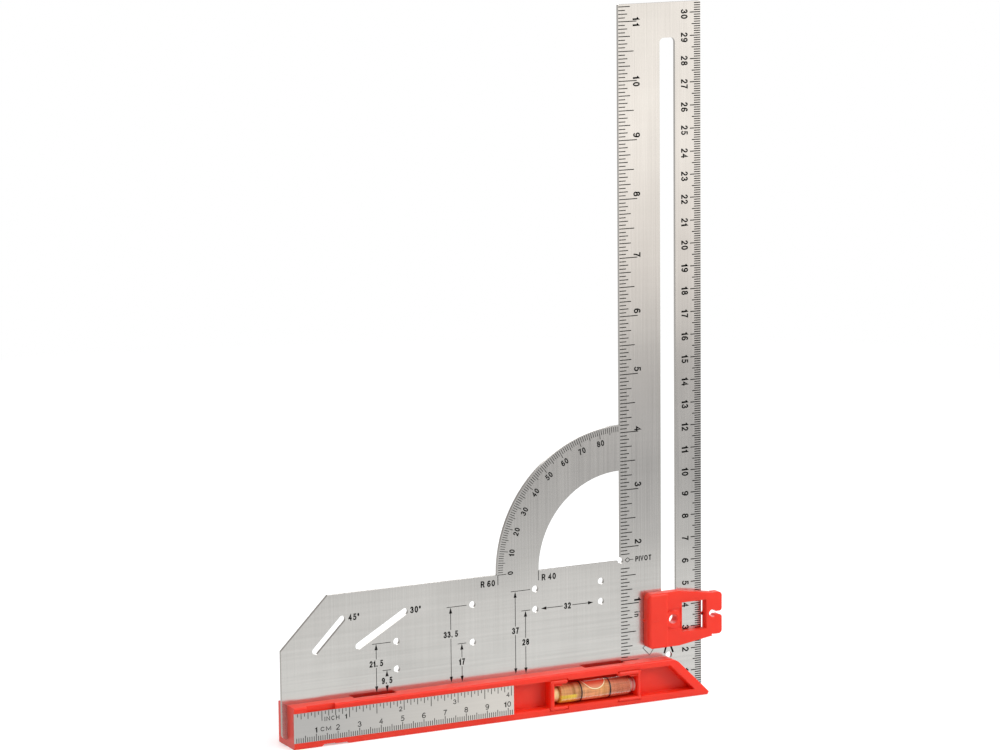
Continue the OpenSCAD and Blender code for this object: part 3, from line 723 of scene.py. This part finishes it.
# Painted reflection: redder along the top of the liquid, where the red pocket mirrors.
high = add_node(
    tree,
    "ShaderNodeMapRange",
    {"Value": spot.outputs["Z"], "From Min": 0.0104, "From Max": 0.0126, "To Max": 0.6},
)
painted_red_top = add_node(
    tree, "ShaderNodeMix", {0: high.outputs[0], 6: dye_and_pocket_reflection.outputs[2], 7: linear("#d84a3c"), "data_type": "RGBA"}
)
stretch = add_node(
    tree, "ShaderNodeMapping", {"Vector": place.outputs["Object"], "Scale": (1100.0, 60.0, 60.0)}
)
streaks = add_node(tree, "ShaderNodeTexNoise", {"Vector": stretch.outputs[0], "Scale": 1.0, "Detail": 2.0})
lines = add_node(
    tree, "ShaderNodeMapping", {"Vector": place.outputs["Object"], "Scale": (90.0, 90.0, 1400.0)}
)
ripples = add_node(tree, "ShaderNodeTexNoise", {"Vector": lines.outputs[0], "Scale": 1.0, "Detail": 2.0})
pattern = add_node(tree, "ShaderNodeMath", {0: streaks.outputs[0], 1: ripples.outputs[0], "operation": "ADD"})
depth = add_node(
    tree,
    "ShaderNodeMapRange",
    {"Value": pattern.outputs[0], "From Min": 0.75, "From Max": 1.25, "To Min": 0.45, "To Max": 0.0},
)
mottled = add_node(
    tree,
    "ShaderNodeMix",
    {0: depth.outputs[0], 6: painted_red_top.outputs[2], 7: linear("#8a4836"), "data_type": "RGBA"},
)
tint = add_node(
    tree,
    "ShaderNodeBsdfPrincipled",
    {
        "Base Color": mottled.outputs[2],
        "Roughness": 0.3,
        "Specular IOR Level": 0.1,
        "Subsurface Weight": 0.5,
        "Subsurface Radius": (1.0, 0.8, 0.4),
        "Subsurface Scale": 0.003,
    },
)
add_node(tree, "ShaderNodeOutputMaterial", {"Surface": tint.outputs[0]})
profile = [(3.1, 3.9), (3.4, 4.2), (VIAL_LONG / 2, 4.27), (36.6, 4.2), (36.9, 3.9)]
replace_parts(turned("vial_spirit", profile, spirit), "vial_liquid")

# The air bubble: long and flat under the top of the tube. Its colour, pink low and red high, is the red
# pocket's light painted on, and the bright line round it, where its edge meets the tube as the surface of the
# liquid curves there, is a painted highlight.
air, tree = new_material("air bubble")
place = add_node(tree, "ShaderNodeTexCoord")
spot = add_node(tree, "ShaderNodeSeparateXYZ", {"Vector": place.outputs["Object"]})
rise = add_node(
    tree, "ShaderNodeMapRange", {"Value": spot.outputs["Z"], "From Min": 0.0090, "From Max": 0.0122}
)
# Painted light: pink low and red high, for the red pocket seen through the bubble.
painted_pocket_hue = add_node(
    tree,
    "ShaderNodeMix",
    {0: rise.outputs[0], 6: linear("#e0a488"), 7: linear("#ee5a48"), "data_type": "RGBA"},
)
inside = add_node(
    tree,
    "ShaderNodeBsdfPrincipled",
    {"Base Color": painted_pocket_hue.outputs[2], "Roughness": 0.15, "Specular IOR Level": 0.15},
)
add_node(tree, "ShaderNodeOutputMaterial", {"Surface": inside.outputs[0]})
# Painted highlight: the bright line round the bubble is a near-white colour on its outer ring.
meniscus, tree = new_material("meniscus, painted highlight")
painted_rim_highlight = add_node(
    tree,
    "ShaderNodeBsdfPrincipled",
    {"Base Color": linear("#fff8dc"), "Roughness": 0.2, "Specular IOR Level": 0.2},
)
add_node(tree, "ShaderNodeOutputMaterial", {"Surface": painted_rim_highlight.outputs[0]})

BUBBLE_HALF, BUBBLE_TURN, BUBBLE_R, BUBBLE_DEEP = 5.6, 77.0, 4.34, 1.4
RINGS, STEPS = 16, 64
vertices, faces = [], []
for ring in range(1, RINGS + 1):
    share = ring / RINGS
    for inner in (0.0, BUBBLE_DEEP):
        for i in range(STEPS):
            turn = 2 * math.pi * i / STEPS
            lean = math.radians(BUBBLE_TURN * share * math.sin(turn))
            radius = BUBBLE_R - inner * (1 - share**2)
            x = VIAL_LONG / 2 + BUBBLE_HALF * share * math.cos(turn)
            spot = Vector((x, -radius * math.sin(lean), radius * math.cos(lean)))
            vertices.append(VIAL + spot / 1000)
for ring in range(RINGS - 1):
    for inner in (0, 1):
        for i in range(STEPS):
            a = (ring * 2 + inner) * STEPS + i
            b = (ring * 2 + inner) * STEPS + (i + 1) % STEPS
            up, up_next = a + 2 * STEPS, b + 2 * STEPS
            faces.append((a, up, up_next, b) if inner else (a, b, up_next, up))
faces += [range(STEPS)[::-1], range(STEPS, 2 * STEPS)]
bubble = mesh_piece("vial_air", vertices, faces, air, "square")
bubble.data.materials.append(meniscus)
OUTER_RIM = range((RINGS - 2) * 2 * STEPS, (RINGS - 2) * 2 * STEPS + STEPS)
for face in bubble.data.polygons:
    face.material_index = 1 if face.index in OUTER_RIM else 0
    face.use_smooth = True
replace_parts(bubble, "vial_bubble")

# The plug: pale yellow acrylic, pressed into the open end of the tube.
pale, tree = new_material("acrylic plug, pale yellow")
plug = add_node(
    tree, "ShaderNodeBsdfPrincipled", {"Base Color": linear("#f3dfa0"), "Roughness": 0.35, "IOR": 1.49}
)
add_node(tree, "ShaderNodeOutputMaterial", {"Surface": plug.outputs[0]})
dressed("vial_plug", pale)

# The rings: black paint in grooves turned round the tube.
paint, tree = new_material("black ring paint")
ring = add_node(
    tree, "ShaderNodeBsdfPrincipled", {"Base Color": linear("#1c130e"), "Roughness": 0.4, "IOR": 1.5}
)
add_node(tree, "ShaderNodeOutputMaterial", {"Surface": ring.outputs[0]})
dressed("vial_ring_left", paint)
dressed("vial_ring_right", paint)


# The cursor's pointer has a black painted tip that points at the millimetres.
POINTER_Y = -1.77
POINTER_TIP = [(39.5, 17.1), (40.3, 16.3), (40.3, 17.9)]
printed("cursor_pointer_tip", [POINTER_TIP], POINTER_Y, paint, "cursor")
